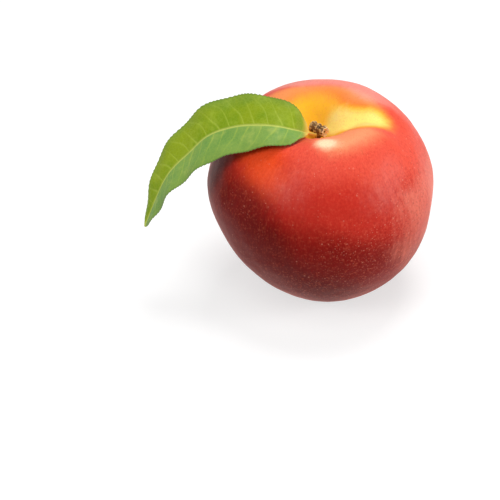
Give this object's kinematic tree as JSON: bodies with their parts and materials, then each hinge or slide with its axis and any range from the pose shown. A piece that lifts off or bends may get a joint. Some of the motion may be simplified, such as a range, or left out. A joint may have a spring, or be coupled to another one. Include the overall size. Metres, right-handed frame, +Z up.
{
  "type": "nectarine",
  "caption": "Whole smooth-skinned stone fruit with a deep stem cavity, a suture groove, a woody stem stub and a long toothed leaf hanging over its side.",
  "frame": {"origin": "centre of the small flat spot that the fruit rests on", "axes": "+Z up through the stem cavity, +X along the suture groove, -X the side that the leaf hangs over"},
  "size_m": [0.0881, 0.069, 0.0693],
  "materials": {
    "skin": "satin",
    "bark": "matte",
    "leaf": "satin"
  },
  "bodies": {
    "root": {"fruit": "skin", "stem": "bark", "leaf": "leaf"}
  },
  "joints": []
}
